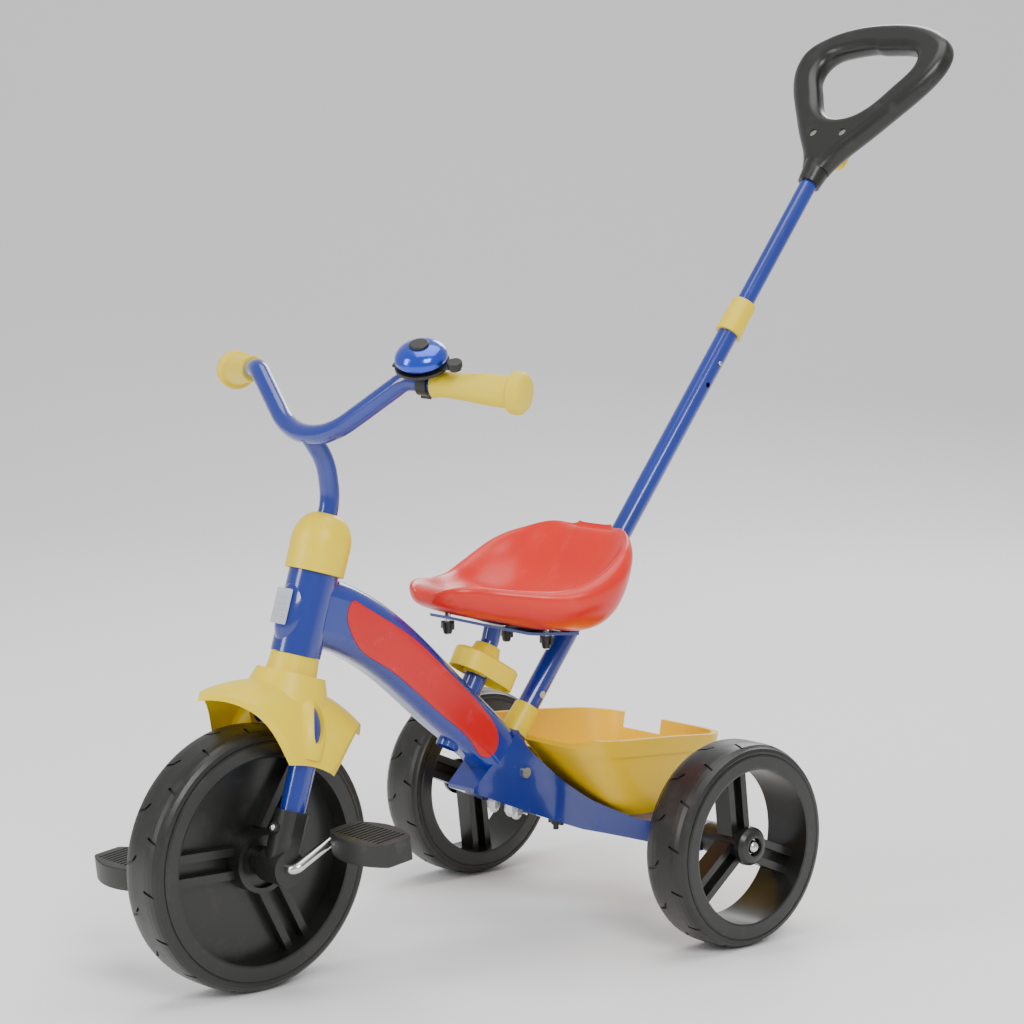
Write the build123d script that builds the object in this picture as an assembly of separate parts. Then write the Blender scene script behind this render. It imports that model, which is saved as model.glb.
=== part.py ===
from build123d import *
import math
import os

os.makedirs("parts", exist_ok=True)

# Driving sizes, mm. x runs forward from the rear axle, z up from the ground.
wheelbase = 449.0
front_wheel_radius = 125.0
rear_wheel_radius = 102.0
front_tyre_width = 52.0
rear_tyre_width = 52.0
rear_wheel_middle = 199.4
steer_rake = 17.0
pole_lean = 38.3
seat_tube_lean = 30.0

# Fits and gaps
running_gap = 0.08
body_gap = 0.35
slide_gap = 0.30
wall = 2.5

# Tubes and rods
bar_diameter = 19.0
fork_diameter = 25.0
steerer_diameter = 26.0
seat_tube_diameter = 23.0
seat_post_diameter = 18.4
lower_pole_diameter = 22.4
upper_pole_diameter = 19.0
axle_diameter = 10.0
crank_diameter = 10.0

# Head, along the steering axis measured from the front hub
head_bottom = 194.0
head_top = 273.0
head_diameter = 48.0
head_bore = 38.0
bush_depth = 14.0
cap_top = 330.0
cap_diameter = 57.0
collar_height = 17.0
collar_diameter = 46.0

# Beam section
beam_width = 46.0
beam_corner = 17.0
panel_depth = 1.6
panel_proud = 0.4

# Bucket
bucket_floor_z = 112.0
bucket_wall = 3.0

# Pole stations along its axis, from its foot
pole_foot = (116.5, 198.0)
base_collar_length = 32.0
lower_pole_top = 520.0
collar_bottom = 501.0
collar_top = 542.0
handle_start = 704.0
handle_top = 926.0
snap_station = 463.0
hole_pitch = 28.5
button_radius = 2.6
handle_socket = 36.0


# Middle of the overall length, from the front tyre to the back of the handle
handle_back = 6.6
pole_reach = handle_top * math.sin(math.radians(pole_lean))
origin_x = (wheelbase + front_wheel_radius + pole_foot[0] - pole_reach - handle_back) / 2


def steer_place(shape):
    turned = Rotation(0, -steer_rake, 0) * shape
    return Pos(wheelbase, 0, front_wheel_radius) * turned


def pole_place(shape):
    turned = Rotation(0, -pole_lean, 0) * shape
    return Pos(pole_foot[0], 0, pole_foot[1]) * turned


def seat_place(shape):
    turned = Rotation(0, -seat_tube_lean, 0) * shape
    return Pos(169, 0, 258) * turned


def ring(outer, inner, low, high):
    body = Pos(0, 0, low) * Cylinder(outer, high - low, align=(Align.CENTER, Align.CENTER, Align.MIN))
    hole = Pos(0, 0, low - 1) * Cylinder(inner, high - low + 2, align=(Align.CENTER, Align.CENTER, Align.MIN))
    return body - hole


def rod(radius, low, high):
    return Pos(0, 0, low) * Cylinder(radius, high - low, align=(Align.CENTER, Align.CENTER, Align.MIN))


def across(shape):
    return Rotation(-90, 0, 0) * shape


def mirrored(shape):
    return mirror(shape, about=Plane.XZ)


def group(pieces):
    solids = []
    for piece in pieces:
        solids.extend(piece.solids())
    return Compound(solids)


def soften(shape, edges, radius):
    try:
        out = fillet(edges, radius)
        return out if out.is_valid else shape
    except Exception:
        print("fillet skipped", radius)
        return shape


# Main beam: stations down its centre line, with the depth there
beam_stations = [
    (372.0, 350.5, 66.0),
    (345.0, 341.0, 66.0),
    (313.0, 324.5, 64.0),
    (270.0, 294.0, 61.0),
    (232.0, 261.0, 59.0),
    (190.0, 224.5, 56.0),
    (147.0, 186.0, 53.0),
]


def beam_path():
    points = [Vector(x, 0, z) for x, z, depth in beam_stations]
    return Spline(points)


def beam_loft(grow):
    path = beam_path()
    sections = []
    for index, (x, z, depth) in enumerate(beam_stations):
        at = path.param_at_point(Vector(x, 0, z))
        along = path.tangent_at(at)
        plane = Plane(origin=(x, 0, z), x_dir=(0, 1, 0), z_dir=along)
        corner = min(beam_corner + grow, (beam_width + 2 * grow) / 2 - 1.0)
        sections.append(plane * RectangleRounded(beam_width + 2 * grow, depth + 2 * grow, corner))
    return loft(sections)


def side_prism(points, smooth=True, reach=300):
    flat = [(x, z) for x, z in points]
    with BuildPart() as prism:
        with BuildSketch(Plane.XZ):
            with BuildLine():
                if smooth:
                    Spline([Vector(x, z) for x, z in flat], periodic=True)
                else:
                    Polyline([Vector(x, z) for x, z in flat], close=True)
            make_face()
        extrude(amount=reach, both=True)
    return prism.part


panel_outline = [
    (338.0, 359.0),
    (303.0, 338.5),
    (262.0, 312.0),
    (229.0, 284.0),
    (193.0, 251.5),
    (166.0, 222.5),
    (157.0, 205.0),
    (160.0, 190.0),
    (169.0, 184.0),
    (189.0, 200.0),
    (222.0, 229.0),
    (261.0, 261.0),
    (304.0, 293.0),
    (335.0, 315.0),
    (345.0, 333.0),
    (346.0, 352.0),
]


def grown(points, amount):
    out = []
    count = len(points)
    for index, (x, z) in enumerate(points):
        before = points[index - 1]
        after = points[(index + 1) % count]
        run = math.hypot(after[0] - before[0], after[1] - before[1])
        out.append((x + amount * (after[1] - before[1]) / run, z - amount * (after[0] - before[0]) / run))
    return out


def panel_prism(grow):
    return side_prism(grown(panel_outline, grow), reach=60)


def head_cutter():
    return steer_place(rod(head_diameter / 2, 150, 320))


def make_beam(outer, inner, pocket_floor):
    beam = outer - inner
    pocket = panel_prism(0.25) - pocket_floor
    beam = beam - pocket
    beam = beam - head_cutter()
    tube_hole = seat_place(rod(seat_tube_diameter / 2, -120, 60))
    return beam - tube_hole


def make_panel(side, proud, pocket_floor):
    leaf = panel_prism(0) & proud
    leaf = leaf - pocket_floor
    half = Pos(0, side * 100, 0) * Box(1200, 200, 1400)
    return leaf & half


def make_head_tube():
    height = head_top - head_bottom
    body = rod(head_diameter / 2, head_bottom, head_top)
    boss_middle = (head_top + head_bottom) / 2 - 2
    boss = Pos(head_diameter / 2 - 13, 0, boss_middle) * scale(Sphere(1), by=(19, 17.5, 37))
    body = body + boss
    keep = Pos(0, 0, head_bottom) * Cylinder(60, height, align=(Align.CENTER, Align.CENTER, Align.MIN))
    body = body & keep
    flat = Pos(head_diameter / 2 + 4.6 + 20, 0, boss_middle + 4) * Box(40, 26, 44)
    body = body - flat
    body = body - rod(head_bore / 2, head_bottom - 1, head_top + 1)
    return steer_place(body)


def make_badge():
    boss_middle = (head_top + head_bottom) / 2 - 2
    plate = Pos(head_diameter / 2 + 4.6 + 0.6, 0, boss_middle + 4) * Box(1.2, 22, 34)
    plate = fillet(plate.edges().filter_by(Axis.X), 1.5)
    rib = Pos(head_diameter / 2 + 4.6 + 1.4, 0, boss_middle + 4) * Box(0.8, 14, 1.6)
    for step in (-9, -3, 3, 9):
        plate = plate + Pos(0, 0, step) * rib
    return steer_place(plate)


def make_bush(low, high):
    inner = steerer_diameter / 2 + running_gap
    sleeve = ring(head_bore / 2, inner, low, high)
    return steer_place(sleeve)


# Rear frame: half widths in plan against x, and the side outline
frame_half_widths = [
    (186.0, 19.5),
    (150.0, 21.5),
    (118.0, 24.0),
    (88.0, 30.0),
    (62.0, 44.0),
    (40.0, 74.0),
    (26.0, 110.0),
    (20.0, 148.0),
]
frame_side = [
    (189.0, 151.0),
    (166.0, 141.5),
    (145.0, 132.5),
    (102.0, 114.5),
    (60.0, 97.5),
    (22.0, 89.0),
    (-20.0, 89.0),
    (-20.0, bucket_floor_z),
    (30.0, bucket_floor_z),
    (54.0, 128.0),
    (78.0, 149.0),
    (103.0, 173.0),
    (117.0, 186.0),
    (129.0, 206.0),
]
housing_half = 164.0


def frame_plan(inset):
    curve = [(x - inset * 0.7, y - inset * 0.8) for x, y in frame_half_widths]
    near_x, near_y = curve[0]
    far_x, far_y = curve[-1]
    edge = 20.0 - inset
    side = housing_half - inset
    with BuildPart() as plan:
        with BuildSketch(Plane.XY):
            with BuildLine():
                Spline([Vector(x, -y) for x, y in curve])
                Spline([Vector(x, y) for x, y in curve])
                Line((near_x, -near_y), (near_x, near_y))
                Polyline([(far_x, far_y), (edge, side), (-edge, side), (-edge, -side), (edge, -side),
                          (far_x, -far_y)])
            make_face()
        extrude(amount=300)
    return plan.part


def frame_profile(inset):
    with BuildPart() as profile:
        with BuildSketch(Plane.XZ):
            with BuildLine():
                Polyline([Vector(x, z) for x, z in frame_side], close=True)
            make_face()
            if inset:
                offset(amount=-inset)
        extrude(amount=300, both=True)
    return profile.part


def make_rear_frame(beam_outer):
    body = frame_plan(0) & frame_profile(0)
    cavity = frame_plan(3.5) & (frame_profile(3.5) + Pos(0, 0, -8) * frame_profile(3.5))
    keep_under = Pos(-200 + 96, 0, 0) * Box(400, 300, 700)
    cavity = cavity & keep_under
    axle_rail = Pos(0, 0, rear_wheel_radius) * across(Cylinder(9.5, 2 * housing_half))
    body = body - (cavity - axle_rail)
    for side in (-1, 1):
        web = Pos(0, side * 150, 101) * Box(40, 3, 24)
        body = body + (web & frame_plan(0) & frame_profile(0))
    body = body - Pos(0, 0, rear_wheel_radius) * across(Cylinder(axle_diameter / 2, 400))
    body = body - beam_outer
    socket = pole_place(rod(lower_pole_diameter / 2, -40, 60))
    body = body - socket
    boss = Pos(bucket_bolt[0], bucket_bolt[1], 0) * rod(9, bucket_bolt[2], 160)
    body = body + (boss & frame_profile(0))
    return body - make_frame_screws() - make_frame_nuts() - bucket_bolt_shank()


# Fasteners of the lug: a screw each side, nuts below, the bucket's bolt further back
lug_screw = (121.0, 23.0, 162.0)
lug_nuts = ((131.0, 13.0), (131.0, -13.0), (112.0, 0.0))
bucket_bolt = (75.0, 20.0, 112.0)


def make_frame_screws():
    screws = []
    for side in (-1, 1):
        x, y, z = lug_screw
        screws.append(Pos(x, side * y, z) * Rotation(-90 * side, 0, 0) * rod(5.4, -1, 3.4))
    return group(screws)


def make_frame_nuts():
    nuts = []
    for x, y in lug_nuts:
        under = 114.5 + (x - 102.0) * 0.42
        hexagon = Pos(0, 0, -5) * extrude(RegularPolygon(7.0, 6), 8)
        dome = Pos(0, 0, -5) * (Sphere(5.4) & Pos(0, 0, -10) * Box(20, 20, 20))
        nuts.append(Pos(x, y, under) * (hexagon + dome))
    return group(nuts)


def bucket_bolt_shank():
    x, y, z = bucket_bolt
    return Pos(x, y, 0) * rod(3.0, z - 16, z + 16)


def make_bucket_wing_nut():
    x, y, z = bucket_bolt
    cone = Solid.make_cone(4.5, 8.0, 11, Plane((x, y, z - 11)))
    wings = Pos(x, y, z - 6) * Box(3.4, 20, 9)
    return cone + wings + bucket_bolt_shank()


def make_rear_axle():
    return Pos(0, 0, rear_wheel_radius) * across(Cylinder(axle_diameter / 2, 2 * (axle_nut_base + 4)))


def make_axle_nuts():
    nuts = []
    for side in (-1, 1):
        hexagon = extrude(RegularPolygon(8.5, 6), 5)
        dome = Pos(0, 0, 5) * Sphere(6.6)
        nut = hexagon + (dome & Pos(0, 0, 15) * Box(30, 30, 20))
        nut = nut - rod(axle_diameter / 2, -1, 4.0)
        turn = Rotation(-90 * side, 0, 0)
        nuts.append(Pos(0, side * axle_nut_base, rear_wheel_radius) * (turn * nut))
    return group(nuts)


def make_axle_washers():
    rings = []
    for side in (-1, 1):
        washer = ring(9.0, axle_diameter / 2, housing_half, housing_half + 1.5)
        rings.append(Pos(0, 0, rear_wheel_radius) * (Rotation(-90 * side, 0, 0) * washer))
    return group(rings)


# Wheels are turned about the y axis through their own centre
def revolve_y(points):
    with BuildPart() as turned:
        with BuildSketch(Plane.YZ):
            with BuildLine():
                Polyline([Vector(y, r) for y, r in points], close=True)
            make_face()
        revolve(axis=Axis.Y)
    return turned.part


def make_tyre(radius, width, seat_radius, flange_radius, slots):
    half = width / 2
    edge = half - 3.6
    points = [
        (-edge, seat_radius),
        (edge, seat_radius),
        (edge, flange_radius),
        (half - 0.6, flange_radius + 0.4),
        (half, flange_radius + 2.0),
        (half - 0.8, flange_radius + 5.5),
        (half - 3.2, radius - 3.4),
        (half - 6.4, radius - 1.4),
        (half - 11.0, radius - 0.4),
        (half - 17.0, radius),
    ]
    lower = [(-y, r) for y, r in reversed(points[2:])]
    tyre = revolve_y(points + lower)
    cutters = []
    for index in range(slots):
        for side in (-1, 1):
            angle = 360.0 / slots * (index + 0.25 * side)
            slot = SlotOverall(15, 2.6)
            cutter = extrude(slot, 8)
            wing = Pos(9, 2.4, 0) * extrude(Rotation(0, 0, 35) * SlotOverall(9, 2.6), 8)
            groove = Rotation(0, 0, 90 - side * 18) * (cutter + wing)
            groove = Pos(0, side * (half - 11), radius - 2.2) * groove
            cutters.append(Rotation(0, angle, 0) * groove)
    return tyre - cutters


def rim_profile(width, bore_radius, seat_radius, flange_radius):
    half = width / 2
    edge = half - 3.6
    return [
        (-half, bore_radius),
        (half, bore_radius),
        (half + 0.6, bore_radius + 2),
        (half + 0.6, flange_radius - 2),
        (half - 0.4, flange_radius),
        (edge, flange_radius),
        (edge, seat_radius),
        (-edge, seat_radius),
        (-edge, flange_radius),
        (-half + 0.4, flange_radius),
        (-half - 0.6, flange_radius - 2),
        (-half - 0.6, bore_radius + 2),
    ]


def hub_sleeve(radius, low, high, bore):
    sleeve = ring(radius, bore, low, high)
    return Rotation(-90, 0, 0) * sleeve


rear_bore = 77.0
rear_seat = 82.0
rear_flange = 92.0
front_bore = 98.0
front_seat = 103.0
front_flange = 113.0
rear_hub_inner = housing_half + 1.5 + body_gap
hub_recess = 8.0
axle_nut_base = rear_wheel_middle + rear_tyre_width / 2 - hub_recess + body_gap


def make_rear_rim(side):
    rim = revolve_y(rim_profile(rear_tyre_width, rear_bore, rear_seat, rear_flange))
    hub_low = rear_hub_inner - rear_wheel_middle
    hub_high = rear_tyre_width / 2 - hub_recess
    bore = axle_diameter / 2 + running_gap
    hub = hub_sleeve(15.0, hub_low, hub_high, bore)
    if side < 0:
        hub = mirrored(hub)
    wheel = rim + hub
    for index in range(3):
        angle = 83 + 120 * index if side > 0 else 263 + 120 * index
        for offset_y in (-9.0, 9.0):
            bar = Pos((rear_bore + 12) / 2 + 1, 0, offset_y) * Box(rear_bore - 8, 20, 7.5)
            wheel = wheel + Rotation(0, -angle, 0) * bar
        web = Pos((rear_bore + 12) / 2 + 1, 0, 0) * Box(rear_bore - 8, 3, 14)
        wheel = wheel + Rotation(0, -angle, 0) * web
    wheel = wheel - Rotation(-90, 0, 0) * rod(bore, -60, 60)
    keep = Rotation(-90, 0, 0) * rod(rear_flange + 5, -60, 60)
    return Pos(0, side * rear_wheel_middle, rear_wheel_radius) * (wheel & keep)


def make_rear_tyre(side):
    tyre = make_tyre(rear_wheel_radius, rear_tyre_width, rear_seat, rear_flange, 14)
    return Pos(0, side * rear_wheel_middle, rear_wheel_radius) * tyre


def make_hub_cap(side):
    low = rear_tyre_width / 2 - hub_recess
    cap = revolve_y([
        (low, 9.2),
        (low, 19.5),
        (low + 5, 19.0),
        (low + 8.5, 16.0),
        (low + 10.0, 11.5),
        (low + 10.0, 9.2),
    ])
    if side < 0:
        cap = mirrored(cap)
    return Pos(0, side * rear_wheel_middle, rear_wheel_radius) * cap


def make_front_rim():
    wheel = revolve_y(rim_profile(front_tyre_width, front_bore, front_seat, front_flange))
    wheel = wheel + hub_sleeve(front_bore + 1, -4, 4, crank_diameter / 2)
    wheel = wheel + hub_sleeve(30, -24, 24, crank_diameter / 2)
    wheel = wheel - hub_sleeve(25, 18, 30, 14)
    wheel = wheel - hub_sleeve(25, -30, -18, 14)
    for index in range(3):
        angle = 2 + 120 * index
        for offset_z in (-11.0, 11.0):
            bar = Pos((front_bore + 28) / 2, 0, offset_z) * Box(front_bore - 26, 30, 8)
            wheel = wheel + Rotation(0, -angle, 0) * bar
    hub_face = 30.9
    wheel = wheel + hub_sleeve(12, -hub_face, hub_face, crank_diameter / 2)
    wheel = wheel - Rotation(-90, 0, 0) * rod(crank_diameter / 2, -60, 60)
    return Pos(wheelbase, 0, front_wheel_radius) * wheel


def make_front_tyre():
    tyre = make_tyre(front_wheel_radius, front_tyre_width, front_seat, front_flange, 16)
    return Pos(wheelbase, 0, front_wheel_radius) * tyre


# Crank: the throw points back and up on the left side
crank_back = 51.0
crank_up = 25.0
crank_arm_y = 69.5
pedal_inner = 76.0
pedal_length = 84.0
pedal_tilt = 7.0
pedal_height = 22.0


def make_crank():
    end = pedal_inner + pedal_length - 12
    points = [
        (crank_back, -end, -crank_up),
        (crank_back, -crank_arm_y, -crank_up),
        (0, -crank_arm_y, 0),
        (0, crank_arm_y, 0),
        (-crank_back, crank_arm_y, crank_up),
        (-crank_back, end, crank_up),
    ]
    path = FilletPolyline(*points, radius=6.4)
    start = Plane(origin=path @ 0, z_dir=path % 0)
    bar = sweep(start * Circle(crank_diameter / 2), path=path)
    return Pos(wheelbase, 0, front_wheel_radius) * bar


def make_pedal(side):
    half = pedal_length / 2
    with BuildPart() as block:
        with BuildSketch(Plane.XY):
            with BuildLine():
                ThreePointArc((-14, -half), (-27, 0), (-14, half))
                Line((-14, half), (14, half))
                ThreePointArc((14, half), (27, 0), (14, -half))
                Line((14, -half), (-14, -half))
            make_face()
        extrude(amount=pedal_height / 2, both=True)
        fillet(block.edges().filter_by(Axis.Z), 4)
        fillet(block.faces().sort_by(Axis.Z)[-1].edges(), 1.2)
        fillet(block.faces().sort_by(Axis.Z)[0].edges(), 1.2)
    body = block.part
    rows = []
    for index in range(11):
        y = -half + 12 + index * 6
        for top in (-1, 1):
            rows.append(Pos(0, y, top * pedal_height / 2) * Box(33, 2.4, 2.0))
    body = body - rows
    body = Rotation(0, pedal_tilt, 0) * body
    bore = crank_diameter / 2 + running_gap
    body = body - Rotation(-90, 0, 0) * rod(bore, -half - 1, half - 12 + body_gap)
    if side < 0:
        body = mirrored(body)
    middle = side * (pedal_inner + half)
    place = Pos(wheelbase - side * crank_back, middle, front_wheel_radius + side * crank_up)
    return place * body


# Fork, in steering coordinates: y across, z up the axis from the hub
fork_half = 47.5
fork_crown = 149.0
fork_bend = 38.0
fork_foot = 30.0
fork_end_top = 52.0


def fork_path(low):
    return FilletPolyline(
        (0, fork_half, low),
        (0, fork_half, fork_crown),
        (0, -fork_half, fork_crown),
        (0, -fork_half, low),
        radius=fork_bend,
    )


def fork_tube(radius, low):
    path = fork_path(low)
    start = Plane(origin=path @ 0, z_dir=path % 0)
    return sweep(start * Circle(radius), path=path)


def make_fork():
    body = fork_tube(fork_diameter / 2, fork_foot)
    stem_tube = rod(steerer_diameter / 2, fork_crown, head_top + 22)
    body = body + stem_tube
    body = body - fork_tube(fork_diameter / 2 - wall, fork_foot)
    body = body - rod(bar_diameter / 2, fork_crown + 18, head_top + 30)
    return steer_place(body)


def make_fork_end(side):
    sleeve = ring(16.2, fork_diameter / 2, fork_foot, fork_end_top)
    sleeve = sleeve + rod(16.2, 4, fork_foot)
    sleeve = Pos(0, fork_half, 0) * sleeve
    inner_face = 32.0
    outer_face = 62.5
    boss = Rotation(-90, 0, 0) * rod(17.0, inner_face, outer_face)
    body = sleeve + boss
    knee = Pos(13, fork_half, 34) * (Rotation(0, 90, 0) * Cylinder(6.0, 10))
    body = body + (knee - Pos(0, fork_half, 0) * rod(fork_diameter / 2, 20, 60))
    body = body - Rotation(-90, 0, 0) * rod(crank_diameter / 2 + running_gap, 20, 80)
    body = body & Box(80, 2 * outer_face, 200)
    if side < 0:
        body = mirrored(body)
    return steer_place(body)


def make_fork_end_screws():
    head = rod(4.2, 0, 1.2) + (Sphere(3.4) & Pos(0, 0, 10) * Box(20, 20, 20))
    screws = []
    for side in (-1, 1):
        at = Pos(18.0, side * fork_half, 34) * Rotation(0, 90, 0)
        screws.append(steer_place(at * head))
    return group(screws)


# Fender over the wheel, turned about the hub and cut to a diamond in plan
fender_reach = 99.0


def fender_shell(outer, thickness):
    inner = [(max(y - thickness * 0.85, 0), r - thickness) for y, r in outer]
    inner[0] = (0, outer[0][1] - thickness)
    inner[-1] = (outer[-1][0] - thickness, outer[-1][1])
    whole_outer = [(-y, r) for y, r in reversed(outer[1:])] + outer
    whole_inner = [(-y, r) for y, r in reversed(inner[1:])] + inner
    with BuildPart() as shell:
        with BuildSketch(Plane.YZ):
            with BuildLine():
                Spline([Vector(y, r) for y, r in whole_outer])
                Spline([Vector(y, r) for y, r in whole_inner])
                Line(whole_outer[0], whole_inner[0])
                Line(whole_outer[-1], whole_inner[-1])
            make_face()
        revolve(axis=Axis.Y, revolution_arc=96)
    return Rotation(0, -48, 0) * shell.part


def make_fender():
    outer = [(0, 168.0), (20, 164.5), (38, 152.0), (52, 129.0), (62, 96.0)]
    hood = fender_shell(outer, 3.2)
    edge = [
        (fender_reach, 0),
        (76, 27),
        (48, 47),
        (24, 59),
        (6, 64),
        (-14, 64),
        (-34, 57),
        (-66, 34),
        (-fender_reach, 0),
    ]
    with BuildPart() as diamond:
        with BuildSketch(Plane.XY):
            with BuildLine():
                Spline([Vector(x, y) for x, y in edge])
                Spline([Vector(x, -y) for x, y in edge])
            make_face()
        extrude(amount=220)
    hood = hood & diamond.part
    ridge = fork_tube(16.2, 102.0)
    neck_base = fork_crown - 4
    neck_top = head_bottom - body_gap - collar_height
    neck = Solid.make_cone(44, 33, neck_top - neck_base, Plane((0, 0, neck_base)))
    body = hood + ridge + neck
    body = body - revolve_y([(-31, 10), (31, 10), (31, 133), (-31, 133)])
    body = body - fork_tube(fork_diameter / 2, 60)
    body = body - rod(steerer_diameter / 2, 100, 260)
    for side in (-1, 1):
        slot = scale(Sphere(1), by=(6.5, 18, 24))
        slot = Rotation(side * 16, 0, 0) * (Rotation(0, -6, 0) * slot)
        body = body - Pos(-1, side * 60, 140) * slot
    return steer_place(body)


def make_collar():
    low = head_bottom - body_gap - collar_height
    body = Solid.make_cone(24.5, collar_diameter / 2, collar_height, Plane((0, 0, low)))
    return steer_place(body - rod(steerer_diameter / 2, 100, 260))


def make_head_cap():
    low = head_top + body_gap
    radius = cap_diameter / 2
    with BuildPart() as cap:
        with BuildSketch(Plane.XZ):
            with BuildLine():
                Polyline([(bar_diameter / 2, cap_top), (bar_diameter / 2, cap_top - 8)])
                Polyline([(bar_diameter / 2, cap_top - 8), (radius - 9, cap_top - 14), (radius - 3, low + 24),
                          (radius - 3, low), (radius, low), (radius + 0.4, low + 25)])
                Spline([(radius + 0.4, low + 25), (radius - 1.5, cap_top - 17), (radius - 6.5, cap_top - 7.5),
                        (13.0, cap_top - 0.6), (bar_diameter / 2, cap_top)])
            make_face()
        revolve(axis=Axis.Z)
    return steer_place(cap.part)


# Handlebar: a dropped middle, two rising arms, grips swept back
bar_middle = (373.5, 30.0, 517.5)
bar_knee = (348.5, 111.0, 573.0)
bar_end = (298.5, 218.0, 564.0)
bar_bend = 24.0
bar_dip = 85.0
stem_bend = 60.0


def bar_solid(radius):
    def flip(point):
        return (point[0], -point[1], point[2])

    path = FilletPolyline(
        bar_end, bar_knee, bar_middle, flip(bar_middle), flip(bar_knee), flip(bar_end),
        radius=(bar_bend, bar_dip, bar_dip, bar_bend)
    )
    start = Plane(origin=path @ 0, z_dir=path % 0)
    return sweep(start * Circle(radius), path=path)


def make_handlebar(outer):
    return outer - bar_solid(bar_diameter / 2 - 2)


def make_stem(bar_outer):
    rake = math.radians(steer_rake)

    def on_axis(height):
        return (wheelbase - math.sin(rake) * height, 0, front_wheel_radius + math.cos(rake) * height)

    path = FilletPolyline(on_axis(fork_crown + 40), on_axis(cap_top + 14), (354.0, 0, 491.0), (374.0, 0, 517.5),
                          radius=stem_bend)
    start = Plane(origin=path @ 0, z_dir=path % 0)
    tube = sweep(start * Circle(bar_diameter / 2), path=path)
    return tube - bar_outer


def grip_plane(side):
    knee = Vector(bar_knee[0], side * bar_knee[1], bar_knee[2])
    tip = Vector(bar_end[0], side * bar_end[1], bar_end[2])
    along = (tip - knee).normalized()
    return Plane(origin=tip, x_dir=Vector(0, 0, 1).cross(along), z_dir=along)


grip_length = 95.0


def make_grip(side):
    length = grip_length
    over = 5.0
    with BuildPart() as grip:
        with BuildSketch(Plane.XZ):
            with BuildLine():
                Polyline([(0, over), (0, 0), (bar_diameter / 2, 0), (bar_diameter / 2, over - length),
                          (12.0, over - length), (12.9, over - length + 1), (12.9, over - length + 4),
                          (12.2, over - length + 5)])
                Spline([(12.2, over - length + 5), (12.6, -58), (14.4, -35), (15.3, -16), (15.6, -13.5)])
                Polyline([(15.6, -13.5), (18.4, -12.6), (19.4, -11.4)])
                Spline([(19.4, -11.4), (19.8, -7.0), (19.2, -2.6), (16.0, 1.6), (9.0, 4.2), (4.0, over)])
                Line((4.0, over), (0, over))
            make_face()
        revolve(axis=Axis.Z)
    return grip_plane(side) * grip.part


# Bell, on the left arm beside the grip
bell_tilt = 28.0
bell_radius = 24.6
bell_clamp_width = 10.0
bell_offset = 8.5
dome_seat = 39.3


def bell_plane():
    knee = Vector(*bar_knee)
    tip = Vector(*bar_end)
    along = (tip - knee).normalized()
    at = tip - along * (grip_length - 5 + bell_offset)
    front = along.cross(Vector(0, 0, 1)).normalized() * -1
    up = front.cross(along).normalized()
    if up.Z < 0:
        up = up * -1
    if front.X < 0:
        front = front * -1
    tilt = math.radians(bell_tilt)
    normal = up * math.cos(tilt) + front * math.sin(tilt)
    return Plane(origin=at, x_dir=along, z_dir=normal)


def make_bell_clamp():
    band = Rotation(0, 90, 0) * (
        Cylinder(12.2, bell_clamp_width) - Cylinder(bar_diameter / 2, bell_clamp_width + 1))
    stalk = Pos(0, 0, 14.5) * Box(bell_clamp_width, 16, 7)
    band = band + (stalk - Rotation(0, 90, 0) * Cylinder(bar_diameter / 2, 20))
    ear = Pos(0, 0, -13) * Box(bell_clamp_width, 7, 5)
    return bell_plane() * (band + ear)


def make_bell_base():
    plate = rod(bell_radius + 0.8, 18, 20.5)
    lip = ring(bell_radius + 0.8, bell_radius - 1.2, 20.5, 21.0)
    wing = Pos(-bell_radius + 4, 0, 19.2) * Box(12, 16, 2.4)
    post = rod(3.4, 20, 36)
    return bell_plane() * (plate + lip + wing + post)


def make_bell_dome():
    with BuildPart() as dome:
        with BuildSketch(Plane.XZ):
            with BuildLine():
                Spline([(bell_radius - 1.6, 23.4), (bell_radius - 0.2, 26.5), (bell_radius - 1.4, 31.5),
                        (bell_radius - 7.5, 37.2), (9.0, 39.4), (3.4, 39.8)])
                Spline([(bell_radius - 3.2, 23.4), (bell_radius - 2.0, 26.5), (bell_radius - 3.2, 30.8),
                        (bell_radius - 8.6, 35.8), (9.0, 37.8), (3.4, 38.0)])
                Line((bell_radius - 1.6, 23.4), (bell_radius - 3.2, 23.4))
                Line((3.4, 39.8), (3.4, 38.0))
            make_face()
        revolve(axis=Axis.Z)
    return bell_plane() * (dome.part - rod(9.2, dome_seat, 45))


def make_bell_cap():
    cap = rod(9.2, dome_seat, 42.0)
    cap = fillet(cap.edges().sort_by(Axis.Z)[-1], 1.6)
    pin = rod(3.4, 36.0, dome_seat + 0.5)
    return bell_plane() * (cap + pin)


def make_bell_lever():
    arm = Pos(18.0, -5, 22.0) * Box(36, 6, 1.2) + rod(7.5, 21.4, 22.6)
    arm = arm - rod(3.4 + running_gap, 20, 24)
    pad_stalk = Pos(35.5, -5, 0) * rod(5.6, 21.4, 28.0)
    pad = Pos(35.5, -5, 0) * rod(7.0, 24.5, 29.5)
    pad = fillet(pad.edges().sort_by(Axis.Z)[-1], 1.0)
    return bell_plane() * (arm + pad_stalk + pad)


# Seat tube, clamp, post and saddle
seat_tube_low = -72.0
seat_tube_high = 24.0
clamp_low = 6.0
clamp_high = 27.0
clamp_cap_top = 39.0


def make_seat_tube():
    tube = ring(seat_tube_diameter / 2, seat_post_diameter / 2 + slide_gap, seat_tube_low, seat_tube_high)
    pinch = Pos(-15, 0, seat_tube_high - 7)
    ears = pinch * Box(10, 9, 13) - rod(seat_tube_diameter / 2 - 0.5, -10, 40)
    tube = tube + ears - Pos(-8, 0, seat_tube_high - 10) * Box(12, 2.2, 24)
    tube = tube - pinch * Box(14, 2.2, 20) - pinch * (Rotation(90, 0, 0) * Cylinder(2.5, 40))
    return seat_place(tube)


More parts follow.
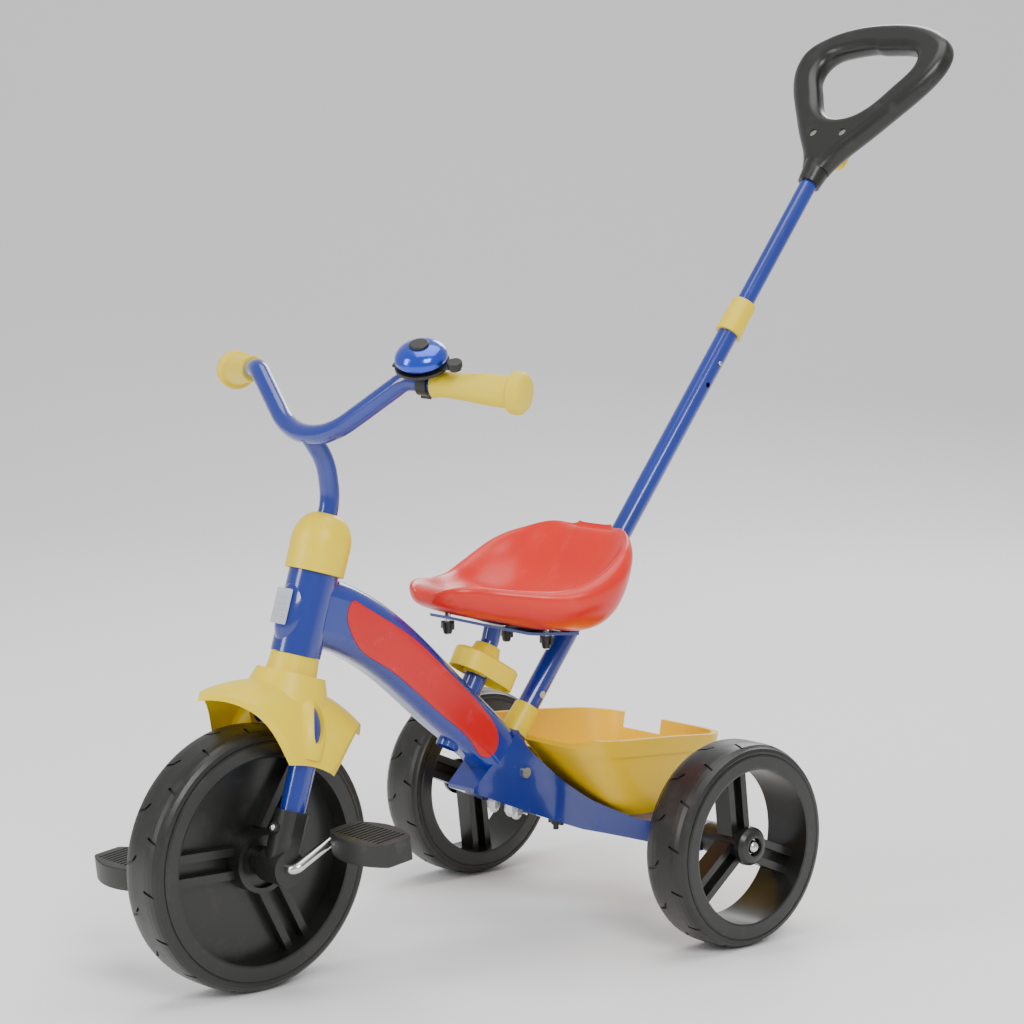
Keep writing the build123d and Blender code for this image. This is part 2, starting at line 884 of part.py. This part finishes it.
def make_seat_clamp():
    middle = (clamp_low + clamp_high) / 2
    slab = Pos(-6, 0, clamp_low) * extrude(SlotOverall(76, 44), clamp_high - clamp_low)
    slab = fillet(slab.edges().group_by(Axis.Z)[-1], 3.0)
    cap = Solid.make_cone(16, 13, clamp_cap_top - clamp_high, Plane((0, 0, clamp_high)))
    cap = fillet(cap.edges().sort_by(Axis.Z)[-1], 1.5)
    body = slab + cap
    hollow = Pos(-6, 0, clamp_low - 1) * extrude(SlotOverall(70, 38), clamp_high - clamp_low - 2)
    body = body - hollow
    body = body - rod(seat_tube_diameter / 2, -10, seat_tube_high)
    body = body - rod(seat_post_diameter / 2 + slide_gap, -10, 60)
    collar = ring(seat_tube_diameter / 2 + 2.5, seat_tube_diameter / 2, clamp_low, clamp_high - 3)
    collar = collar & Pos(15, 0, middle) * Box(30, 60, 60)
    return seat_place(body + collar)


def make_seat_clamp_bolt():
    at = Pos(-15, 0, seat_tube_high - 7) * Rotation(90, 0, 0)
    bolt = Cylinder(2.4, 22) + Pos(0, 0, 7) * Cylinder(4.5, 4) + Pos(0, 0, -7) * Cylinder(4.5, 4)
    return seat_place(at * bolt)


# Bracket under the saddle
plate_rear = (57.0, 297.2)
plate_bend = (127.0, 304.0)
plate_front = (214.0, 327.0)
plate_thick = 3.0


def make_seat_post():
    lean = math.radians(seat_tube_lean)

    def on_axis(height):
        return (169 - math.sin(lean) * height, 0, 258 + math.cos(lean) * height)

    top_z = plate_rear[1] + (plate_bend[1] - plate_rear[1]) * (139 - plate_rear[0]) / (plate_bend[0] - plate_rear[0])
    path = FilletPolyline(on_axis(-48), on_axis(44), (139.0, 0, top_z + 20), radius=14.0)
    start = Plane(origin=path @ 0, z_dir=path % 0)
    post = sweep(start * Circle(seat_post_diameter / 2), path=path)
    cut = side_prism(plate_side(60), smooth=False)
    return post - cut


def plate_side(height):
    return [plate_rear, plate_bend, plate_front,
            (plate_front[0], plate_front[1] + height),
            (plate_bend[0], plate_bend[1] + height),
            (plate_rear[0], plate_rear[1] + height)]


seat_bolts = ((203.0, 0.0), (98.0, 30.0), (98.0, -30.0))


def plate_z(x):
    if x < plate_bend[0]:
        low, high = plate_rear, plate_bend
    else:
        low, high = plate_bend, plate_front
    return low[1] + (high[1] - low[1]) * (x - low[0]) / (high[0] - low[0])


def make_seat_plate():
    body = side_prism(plate_side(plate_thick), smooth=False)
    with BuildPart() as plan:
        with BuildSketch(Plane.XY):
            with BuildLine():
                Polyline([(57, -32), (62, -40), (120, -40), (150, -18), (214, -14), (214, 14), (150, 18),
                          (120, 40), (62, 40), (57, 32)], close=True)
            make_face()
        extrude(amount=500)
    body = body & plan.part
    for x, y in seat_bolts:
        body = body - Pos(x, y, plate_z(x)) * Cylinder(3.0, 20)
    return body


def make_seat_bolts():
    bolts = []
    for x, y in seat_bolts:
        bolts.append(Pos(x, y, 0) * rod(2.9, plate_z(x) - 15, plate_z(x) + 9))
    return group(bolts)


def make_wing_nuts():
    nuts = []
    for x, y in seat_bolts:
        top = plate_z(x) - 2.0
        cone = Solid.make_cone(4.0, 7.0, 12, Plane((x, y, top - 12)))
        wings = Pos(x, y, top - 4) * Box(3.2, 17, 7)
        nut = cone + wings
        nuts.append(nut - Pos(x, y, 0) * rod(2.9, top - 30, top + 10))
    return group(nuts)


# Saddle stations: x, half width, rim height, floor height, underside height
saddle_stations = [
    (233.5, 16.0, 354.0, 352.0, 345.0),
    (227.0, 30.0, 358.5, 356.0, 339.0),
    (216.0, 40.0, 361.0, 356.0, 334.5),
    (196.0, 50.0, 360.0, 350.0, 328.0),
    (172.0, 66.0, 356.5, 342.0, 322.0),
    (145.0, 87.0, 354.5, 337.0, 315.0),
    (115.0, 103.0, 357.0, 334.0, 308.5),
    (85.0, 109.0, 369.0, 333.0, 304.0),
    (62.0, 106.0, 381.5, 344.0, 307.0),
    (42.0, 95.0, 391.0, 362.0, 325.0),
    (25.0, 77.0, 398.0, 385.0, 343.0),
    (11.0, 52.0, 402.5, 398.5, 361.0),
    (2.0, 26.0, 404.0, 403.0, 378.0),
]


def saddle_section(x, half, rim, floor, under):
    tall = rim - under
    right = [
        (0.0, under),
        (half * 0.55, under + tall * 0.05),
        (half * 0.86, under + tall * 0.28),
        (half * 0.99, under + tall * 0.64),
        (half * 0.985, rim - tall * 0.10),
        (half * 0.90, rim),
        (half * 0.78, rim - (rim - floor) * 0.34),
        (half * 0.52, floor + (rim - floor) * 0.10),
        (0.0, floor),
    ]
    left = [(-y, z) for y, z in reversed(right[1:-1])]
    return [Vector(x, y, z) for y, z in right + left]


def make_saddle():
    faces = []
    for station in saddle_stations:
        edge = Spline(saddle_section(*station), periodic=True)
        faces.append(Face(Wire([edge])))
    body = loft(faces)
    body = body - side_prism(plate_side(plate_thick), smooth=False)
    body = body - side_prism([
        (plate_rear[0] - 60, plate_rear[1] - 40), (plate_rear[0] - 60, plate_rear[1] - 2),
        plate_rear, plate_bend, plate_front, (plate_front[0] + 30, plate_front[1] + 6),
        (plate_front[0] + 30, plate_front[1] - 60)], smooth=False)
    for x, y in seat_bolts:
        body = body - Pos(x, y, 0) * rod(2.9, plate_z(x) - 15, plate_z(x) + 9)
    return body


# Push pole
def make_pole_socket():
    return pole_place(rod(lower_pole_diameter / 2, -34, 0))


def make_lower_pole():
    tube = ring(lower_pole_diameter / 2, upper_pole_diameter / 2 + slide_gap, 0.0, lower_pole_top)
    for index in range(2):
        hole = snap_direction(rod(button_radius + body_gap, 4, 20))
        tube = tube - Pos(0, 0, snap_station - hole_pitch * index) * hole
    return pole_place(tube - pole_screw_shape())


def make_base_collar():
    body = Solid.make_cone(14.4, 13.4, base_collar_length, Plane((0, 0, 0)))
    body = body - rod(lower_pole_diameter / 2, -1, base_collar_length + 1)
    return pole_place(body)


def snap_direction(shape):
    return across(shape)


def pole_screw_shape():
    head = snap_direction(rod(3.8, lower_pole_diameter / 2 - 0.4, lower_pole_diameter / 2 + 1.2))
    shank = snap_direction(rod(2.0, lower_pole_diameter / 2 - 2.0, lower_pole_diameter / 2))
    return Pos(0, 0, 48) * (head + shank)


def make_pole_screw():
    return pole_place(pole_screw_shape())


def make_snap_button():
    tip = lower_pole_diameter / 2 + 1.6
    pin = rod(button_radius, upper_pole_diameter / 2 + slide_gap + 0.1, tip)
    pin = fillet(pin.edges().sort_by(Axis.Z)[-1], 1.2)
    return pole_place(Pos(0, 0, snap_station) * snap_direction(pin))


def make_telescope_collar():
    low, high = collar_bottom, collar_top
    body = Solid.make_cone(14.6, 13.2, high - low, Plane((0, 0, low)))
    body = fillet(body.edges().group_by(Axis.Z)[-1], 1.2)
    body = body - rod(lower_pole_diameter / 2, low - 1, lower_pole_top)
    body = body - rod(upper_pole_diameter / 2 + slide_gap, low, high + 1)
    return pole_place(body)


def make_upper_pole():
    low = snap_station - 18
    tube = ring(upper_pole_diameter / 2, upper_pole_diameter / 2 - 1.5, low, handle_start + handle_socket)
    pocket = Pos(0, 0, snap_station) * snap_direction(rod(button_radius + body_gap, 5, 20))
    return pole_place(tube - pocket)


handle_half = 12.5
screw_station = 767.0
screw_spread = 21.0
trigger_station = 757.0
handle_outer = [
    (0, handle_top),
    (50, 921.0),
    (84, 907.5),
    (103, 890.0),
    (106.5, 869.0),
    (95, 836.0),
    (70, 799.0),
    (44, 764.0),
    (26, 741.0),
    (16, 722.0),
]
handle_inner = [
    (0, 890.0),
    (43, 887.0),
    (64, 877.5),
    (68, 862.0),
    (56, 837.0),
    (40, 812.0),
    (20, 795.5),
    (0, 791.5),
]


def make_handle():
    with BuildPart() as loop:
        with BuildSketch(Plane.YZ):
            with BuildLine():
                right = [Vector(y, s) for y, s in handle_outer]
                left = [Vector(-y, s) for y, s in handle_outer[1:]]
                Spline(list(reversed(left)) + right)
                Line((16, 722), (-16, 722))
            make_face()
            with BuildLine():
                right = [Vector(y, s) for y, s in handle_inner[:-1]]
                left = [Vector(-y, s) for y, s in reversed(handle_inner[1:-1])]
                bottom = Vector(0, handle_inner[-1][1])
                Spline(right + [bottom] + left, periodic=True)
            make_face(mode=Mode.SUBTRACT)
        extrude(amount=handle_half, both=True)
    body = loop.part
    body = soften(body, body.edges().filter_by(GeomType.BSPLINE), 11.0)
    neck = Solid.make_cone(12.6, 15.5, 26, Plane((0, 0, handle_start)))
    body = body + neck
    body = body - rod(upper_pole_diameter / 2, handle_start - 5, handle_start + handle_socket)
    for side in (-1, 1):
        pocket = Pos(handle_half - 3.0, side * screw_spread, screw_station) * Rotation(0, 90, 0)
        body = body - pocket * rod(4.8, 0, 6)
    trigger_well = Pos(-12, 0, trigger_station) * Box(17, 24 + 2 * body_gap, 30 + 2 * body_gap)
    body = body - trigger_well
    return pole_place(body)


def make_handle_screws():
    screws = []
    for side in (-1, 1):
        at = Pos(handle_half - 3.0, side * screw_spread, screw_station) * Rotation(0, 90, 0)
        screws.append(pole_place(at * rod(4.4, 0, 1.8)))
    return group(screws)


def make_trigger():
    body = Pos(-17, 0, trigger_station) * Box(17, 24, 30)
    body = fillet(body.edges().filter_by(Axis.X), 6)
    body = fillet(body.faces().sort_by(Axis.X)[0].edges(), 3)
    return pole_place(body)


# Bucket: floor and rim outlines, front notch and rear notch
def bucket_shape(inset, floor_z, rim_z):
    floor_front, floor_rear, floor_half = 30.0, -88.0, 80.0
    rim_front, rim_rear, rim_half = 112.0, -103.0, 104.0
    with BuildPart() as tub:
        with BuildSketch(Plane.XY.offset(floor_z)):
            with Locations(((floor_front + floor_rear) / 2, 0)):
                RectangleRounded(floor_front - floor_rear - 2 * inset, 2 * (floor_half - inset), 24)
        with BuildSketch(Plane.XY.offset(rim_z)):
            with Locations(((rim_front + rim_rear) / 2, 0)):
                RectangleRounded(rim_front - rim_rear - 2 * inset, 2 * (rim_half - inset), 42)
        loft()
    return tub.part


bucket_top = [
    (140, 184), (103, 184), (97, 197), (90, 201), (60, 198), (-20, 192), (-85, 185.5), (-110, 183), (-130, 183),
]
rim_band = 18.0
rim_proud = 2.2


def above_rim(drop):
    outline = [(x, z - drop) for x, z in bucket_top]
    air = side_prism([(140, 260), *outline, (-130, 260)], smooth=False)
    turn = Rotation(90, 0, 90)
    front_notch = Pos(80, 0, 183 - drop + 40) * turn * extrude(RectangleRounded(84, 80, 16), 60)
    rear_notch = Pos(-130, 0, 163 - drop + 50) * turn * extrude(RectangleRounded(92, 100, 22), 60)
    return air + front_notch + rear_notch


def make_bucket():
    rim_z = 206.0
    outer = bucket_shape(0, bucket_floor_z, rim_z)
    inner = bucket_shape(bucket_wall, bucket_floor_z + bucket_wall, rim_z + 0.01)
    band = bucket_shape(-rim_proud, bucket_floor_z, rim_z) & above_rim(rim_band)
    body = outer + band
    return body - inner - above_rim(0)


def build_all():
    outer = beam_loft(0)
    inner = beam_loft(-wall)
    pocket_floor = beam_loft(-panel_depth)
    proud = beam_loft(panel_proud)
    bar_outer = bar_solid(bar_diameter / 2)
    makers = {
        "main_beam": lambda: make_beam(outer, inner, pocket_floor),
        "left_side_panel": lambda: make_panel(1, proud, pocket_floor),
        "right_side_panel": lambda: make_panel(-1, proud, pocket_floor),
        "head_tube": make_head_tube,
        "head_badge": make_badge,
        "upper_bush": lambda: make_bush(head_top - bush_depth, head_top),
        "lower_bush": lambda: make_bush(head_bottom, head_bottom + bush_depth),
        "rear_frame": lambda: make_rear_frame(outer),
        "frame_screws": make_frame_screws,
        "frame_nuts": make_frame_nuts,
        "bucket_wing_nut": make_bucket_wing_nut,
        "rear_axle": make_rear_axle,
        "rear_axle_nuts": make_axle_nuts,
        "rear_axle_washers": make_axle_washers,
        "left_rear_tyre": lambda: make_rear_tyre(1),
        "right_rear_tyre": lambda: make_rear_tyre(-1),
        "left_rear_wheel": lambda: make_rear_rim(1),
        "right_rear_wheel": lambda: make_rear_rim(-1),
        "left_hub_cap": lambda: make_hub_cap(1),
        "right_hub_cap": lambda: make_hub_cap(-1),
        "front_tyre": make_front_tyre,
        "front_wheel": make_front_rim,
        "crank": make_crank,
        "left_pedal": lambda: make_pedal(1),
        "right_pedal": lambda: make_pedal(-1),
        "fork": make_fork,
        "left_fork_end": lambda: make_fork_end(1),
        "right_fork_end": lambda: make_fork_end(-1),
        "fork_end_screws": make_fork_end_screws,
        "front_fender": make_fender,
        "steering_collar": make_collar,
        "head_cap": make_head_cap,
        "handlebar": lambda: make_handlebar(bar_outer),
        "handlebar_stem": lambda: make_stem(bar_outer),
        "left_grip": lambda: make_grip(1),
        "right_grip": lambda: make_grip(-1),
        "bell_clamp": make_bell_clamp,
        "bell_base": make_bell_base,
        "bell_dome": make_bell_dome,
        "bell_cap": make_bell_cap,
        "bell_lever": make_bell_lever,
        "seat_tube": make_seat_tube,
        "seat_clamp": make_seat_clamp,
        "seat_clamp_bolt": make_seat_clamp_bolt,
        "seat_post": make_seat_post,
        "seat_plate": make_seat_plate,
        "seat_bolts": make_seat_bolts,
        "seat_wing_nuts": make_wing_nuts,
        "saddle": make_saddle,
        "pole_socket": make_pole_socket,
        "lower_pole": make_lower_pole,
        "pole_base_collar": make_base_collar,
        "pole_screw": make_pole_screw,
        "snap_button": make_snap_button,
        "telescope_collar": make_telescope_collar,
        "upper_pole": make_upper_pole,
        "push_handle": make_handle,
        "handle_screws": make_handle_screws,
        "handle_trigger": make_trigger,
        "bucket": make_bucket,
    }
    return makers


for name, maker in build_all().items():
    shape = maker()
    whole = group([shape])
    print(name, whole.is_valid, round(whole.volume / 1000, 1), len(whole.solids()))
    export_step(Pos(-origin_x, 0, 0) * whole, f"parts/{name}.step")
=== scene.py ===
import math

import bpy
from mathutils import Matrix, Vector

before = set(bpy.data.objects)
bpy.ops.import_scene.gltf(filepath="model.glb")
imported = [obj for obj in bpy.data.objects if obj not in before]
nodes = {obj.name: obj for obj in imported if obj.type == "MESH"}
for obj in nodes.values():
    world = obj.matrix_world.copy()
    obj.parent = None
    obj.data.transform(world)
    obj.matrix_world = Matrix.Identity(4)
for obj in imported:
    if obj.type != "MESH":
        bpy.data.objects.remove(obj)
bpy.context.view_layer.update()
print("stage: frame loaded,", len(nodes), "nodes")


# Shader sockets with ordinary arithmetic
class Wire:
    def __init__(self, tree, out):
        self.tree = tree
        self.out = out

    def combine(self, operation, first, second=0.0):
        node = self.tree.nodes.new("ShaderNodeMath")
        node.operation = operation
        plug(self.tree, node.inputs[0], first)
        plug(self.tree, node.inputs[1], second)
        return Wire(self.tree, node.outputs[0])

    def __add__(self, other):
        return self.combine("ADD", self, other)

    def __radd__(self, other):
        return self.combine("ADD", other, self)

    def __sub__(self, other):
        return self.combine("SUBTRACT", self, other)

    def __rsub__(self, other):
        return self.combine("SUBTRACT", other, self)

    def __mul__(self, other):
        return self.combine("MULTIPLY", self, other)

    def __rmul__(self, other):
        return self.combine("MULTIPLY", other, self)

    def __truediv__(self, other):
        return self.combine("DIVIDE", self, other)

    def __rtruediv__(self, other):
        return self.combine("DIVIDE", other, self)

    def __pow__(self, other):
        return self.combine("POWER", self, other)

    def clamp(self, low, high):
        return self.combine("MINIMUM", self.combine("MAXIMUM", self, low), high)

    def step(self, low, high):
        return ((self - low) / (high - low)).clamp(0.0, 1.0)


def plug(tree, socket, value):
    if isinstance(value, Wire):
        tree.links.new(value.out, socket)
    else:
        socket.default_value = value


class Shader:
    def __init__(self, name):
        self.material = bpy.data.materials.new(name)
        self.material.use_nodes = True
        self.tree = self.material.node_tree
        self.surface = self.tree.nodes["Principled BSDF"]

    def node(self, kind, inputs=None, output=0, **settings):
        made = self.tree.nodes.new(kind)
        for key, value in settings.items():
            setattr(made, key, value)
        for key, value in (inputs or {}).items():
            plug(self.tree, made.inputs[key], value)
        return Wire(self.tree, made.outputs[output])

    def place(self):
        return self.node("ShaderNodeTexCoord", output="Object")

    def noise(self, scale, detail=2.0, roughness=0.5):
        inputs = {"Vector": self.place(), "Scale": scale, "Detail": detail, "Roughness": roughness}
        return self.node("ShaderNodeTexNoise", inputs, "Fac")

    def mix(self, amount, first, second):
        made = self.tree.nodes.new("ShaderNodeMix")
        made.data_type = "RGBA"
        plug(self.tree, made.inputs[0], amount)
        plug(self.tree, made.inputs[6], first)
        plug(self.tree, made.inputs[7], second)
        return Wire(self.tree, made.outputs[2])

    def bump(self, height, strength, distance):
        return self.node("ShaderNodeBump", {"Height": height, "Strength": strength, "Distance": distance})

    def set(self, **sockets):
        for key, value in sockets.items():
            plug(self.tree, self.surface.inputs[key.replace("_", " ")], value)
        return self.material


def tone(colour, factor):
    return (*[min(1.0, part * factor) for part in colour], 1.0)


def glossPaint(name, colour):
    shader = Shader(name)
    cloud = shader.noise(14.0, 3.0)
    peel = shader.noise(620.0, 1.0)
    smear = shader.noise(60.0, 4.0, 0.6).step(0.52, 0.78)
    return shader.set(
        Base_Color=shader.mix(cloud.step(0.3, 0.7), tone(colour, 0.9), tone(colour, 1.1)),
        Roughness=0.2 + smear * 0.13,
        Normal=shader.bump(peel, 0.05, 0.0004),
        Coat_Weight=0.75 - smear * 0.2,
        Coat_Roughness=0.05,
    )


def mouldedPlastic(name, colour, look):
    shader = Shader(name)
    cloud = shader.noise(look.get("cloud", 9.0), 3.0)
    grain = shader.noise(look.get("grain", 1500.0), 2.0)
    scuff = shader.noise(look.get("scuff", 45.0), 5.0, 0.65).step(0.56, 0.8)
    soft = shader.mix(cloud.step(0.32, 0.68), tone(colour, 0.93), tone(colour, 1.06))
    rubbed = shader.mix(scuff * look.get("rub", 0.12), soft, tone(look.get("dust", (0.7, 0.68, 0.62)), 1.0))
    return shader.set(
        Base_Color=rubbed,
        Roughness=look["rough"] + scuff * 0.12 + (grain - 0.5) * 0.06,
        Normal=shader.bump(grain, look.get("relief", 0.12), 0.0003),
        Specular_IOR_Level=look.get("specular", 0.5),
        Subsurface_Weight=look.get("glow", 0.0),
        Subsurface_Scale=0.004,
    )


def rubber(name, colour):
    shader = Shader(name)
    grain = shader.noise(900.0, 3.0, 0.6)
    flow = shader.noise(30.0, 4.0)
    dust = shader.noise(85.0, 6.0, 0.7).step(0.5, 0.85)
    return shader.set(
        Base_Color=shader.mix(dust * 0.16, tone(colour, 1.0), (0.09, 0.085, 0.075, 1.0)),
        Roughness=0.36 + dust * 0.2 + (flow - 0.5) * 0.1,
        Normal=shader.bump(grain * 0.6 + flow * 0.4, 0.16, 0.0005),
        Specular_IOR_Level=0.5,
    )


def plated(name, colour, rough):
    shader = Shader(name)
    streak = shader.noise(260.0, 4.0, 0.6)
    pits = shader.noise(1400.0, 2.0).step(0.68, 0.8)
    return shader.set(
        Base_Color=shader.mix(pits * 0.5, tone(colour, 1.0), tone(colour, 0.55)),
        Metallic=1.0,
        Roughness=rough + streak * 0.12,
        Normal=shader.bump(streak, 0.04, 0.0003),
    )


def anodised(name, colour):
    shader = Shader(name)
    flake = shader.noise(1800.0, 1.0)
    swirl = shader.noise(22.0, 3.0)
    return shader.set(
        Base_Color=shader.mix(swirl.step(0.3, 0.7), tone(colour, 0.75), tone(colour, 1.15)),
        Metallic=0.55 + flake * 0.2,
        Roughness=0.16 + flake * 0.08,
        Coat_Weight=0.9,
        Coat_Roughness=0.03,
        Normal=shader.bump(flake, 0.03, 0.0002),
    )


blue = (0.006, 0.026, 0.26)
yellow = (0.86, 0.63, 0.004)
bucketYellow = (0.98, 0.60, 0.0)
black = (0.012, 0.012, 0.011)

looks = {
    "tube": glossPaint("blueGlossPaint", blue),
    # rear frame: the tube blue darkened about 15% as painted shade for the shadow under the bucket
    "carriage_painted_shade": glossPaint("blueMouldedGlossPaintedShade", (0.005, 0.022, 0.22)),
    "yellow": mouldedPlastic("yellowMoulded", yellow, {"rough": 0.36, "relief": 0.1}),
    "bucket": mouldedPlastic("bucketMoulded", bucketYellow, {"rough": 0.34, "relief": 0.12, "cloud": 6.0}),
    "panel": mouldedPlastic("redPanel", (0.62, 0.004, 0.006), {"rough": 0.24, "relief": 0.05, "rub": 0.05}),
    "saddle": mouldedPlastic("redSaddle", (0.72, 0.012, 0.003), {"rough": 0.30, "relief": 0.1, "rub": 0.06}),
    "wheel": mouldedPlastic("wheelBlack", black, {"rough": 0.30, "relief": 0.1, "rub": 0.03}),
    "black": mouldedPlastic("satinBlack", black, {"rough": 0.40, "relief": 0.2, "rub": 0.03}),
    "pedal": mouldedPlastic("pedalBlack", (0.016, 0.017, 0.014), {"rough": 0.46, "relief": 0.3, "rub": 0.05}),
    "grip": mouldedPlastic("gripSoft", (0.80, 0.60, 0.02), {"rough": 0.52, "relief": 0.28, "grain": 1100.0}),
    "badge": mouldedPlastic("badgeSilver", (0.50, 0.53, 0.58), {"rough": 0.3, "relief": 0.2}),
    "tyre": rubber("tyreRubber", (0.012, 0.012, 0.010)),
    "steel": plated("brightPlate", (0.66, 0.66, 0.65), 0.14),
    "nickel": plated("dullPlate", (0.55, 0.52, 0.46), 0.24),
    "bell": anodised("bellBlue", (0.012, 0.06, 0.62)),
}

finishes = {
    "tube": ["main_beam", "head_tube", "fork", "handlebar", "handlebar_stem", "seat_tube", "seat_post", "seat_plate",
             "lower_pole", "upper_pole", "pole_socket"],
    "carriage_painted_shade": ["rear_frame"],
    "yellow": ["front_fender", "steering_collar", "head_cap", "seat_clamp", "pole_base_collar", "telescope_collar",
               "handle_trigger"],
    "bucket": ["bucket"],
    "panel": ["left_side_panel", "right_side_panel"],
    "saddle": ["saddle"],
    "wheel": ["front_wheel", "left_rear_wheel", "right_rear_wheel", "left_hub_cap", "right_hub_cap", "push_handle"],
    "black": ["left_fork_end", "right_fork_end", "seat_wing_nuts", "bucket_wing_nut", "bell_clamp", "bell_cap",
              "bell_lever", "bell_base", "upper_bush", "lower_bush"],
    "pedal": ["left_pedal", "right_pedal"],
    "grip": ["left_grip", "right_grip"],
    "badge": ["head_badge"],
    "tyre": ["front_tyre", "left_rear_tyre", "right_rear_tyre"],
    "steel": ["rear_axle", "rear_axle_nuts", "rear_axle_washers", "crank", "fork_end_screws", "frame_nuts",
              "seat_clamp_bolt", "seat_bolts"],
    "nickel": ["pole_screw", "snap_button", "handle_screws", "frame_screws"],
    "bell": ["bell_dome"],
}

for look, names in finishes.items():
    for name in names:
        mesh = nodes[name].data
        mesh.materials.clear()
        mesh.materials.append(looks[look])
missing = set(nodes) - {name for names in finishes.values() for name in names}
print("stage: finishes set, without one:", sorted(missing))


def flatMaterial(name, colour, rough):
    shader = Shader(name)
    speck = shader.noise(300.0, 2.0)
    return shader.set(
        Base_Color=shader.mix(speck, tone(colour, 0.99), tone(colour, 1.0)),
        Roughness=rough,
    )


# Studio: a pale floor that curves up into a wall behind the object
def makeFloor():
    half = 9.0
    bend = 3.0
    steps = 24
    along = Vector((-0.67, -0.742, 0.0))
    across = Vector((along.y, -along.x, 0.0))
    profile = [(-6.0, 0.0)]
    for index in range(steps + 1):
        turn = index / steps * math.pi / 2
        profile.append((3.0 + bend * math.sin(turn), bend * (1 - math.cos(turn))))
    profile.append((3.0 + bend, 9.0))
    points = []
    for reach, height in profile:
        for side in (-half, half):
            spot = along * reach + across * side
            points.append((spot.x, spot.y, height))
    faces = [(2 * i, 2 * i + 1, 2 * i + 3, 2 * i + 2) for i in range(len(profile) - 1)]
    mesh = bpy.data.meshes.new("studioFloor")
    mesh.from_pydata(points, [], faces)
    for face in mesh.polygons:
        face.use_smooth = True
    floor = bpy.data.objects.new("studioFloor", mesh)
    bpy.context.collection.objects.link(floor)
    mesh.materials.append(flatMaterial("floorPale", (0.96, 0.96, 0.96), 0.75))
    return floor


def areaLight(name, place, target, size, power, colour=(1, 1, 1)):
    data = bpy.data.lights.new(name, "AREA")
    data.shape = "RECTANGLE"
    data.size, data.size_y = size
    data.energy = power
    data.color = colour
    lamp = bpy.data.objects.new(name, data)
    lamp.location = place
    lamp.rotation_euler = (Vector(target) - Vector(place)).to_track_quat("-Z", "Y").to_euler()
    bpy.context.collection.objects.link(lamp)
    return lamp


makeFloor()
middle = (0.0, 0.0, 0.4)
areaLight("keyLight", (1.6, 3.2, 2.9), middle, (1.6, 1.6), 95)
areaLight("sideLight", (3.4, -0.9, 1.9), middle, (0.9, 2.4), 55)
areaLight("topLight", (-0.2, 0.2, 3.4), middle, (2.6, 2.6), 60)
areaLight("backLight", (-2.6, -1.6, 2.2), middle, (1.2, 1.8), 40)
world = bpy.context.scene.world or bpy.data.worlds.new("studioWorld")
bpy.context.scene.world = world
world.use_nodes = True
sky = world.node_tree.nodes["Background"]
sky.inputs["Color"].default_value = (1.0, 1.0, 1.0, 1.0)
sky.inputs["Strength"].default_value = 0.6

cameraData = bpy.data.cameras.new("studioCamera")
cameraData.lens = 96.75
cameraData.sensor_width = 36.0
cameraData.dof.use_dof = False
camera = bpy.data.objects.new("studioCamera", cameraData)
camera.location = (1.899, 2.037, 0.749)
heading = Vector((-0.6649, -0.7375, -0.1177))
camera.rotation_euler = heading.to_track_quat("-Z", "Y").to_euler()
bpy.context.collection.objects.link(camera)
bpy.context.scene.camera = camera
print("stage: studio ready")
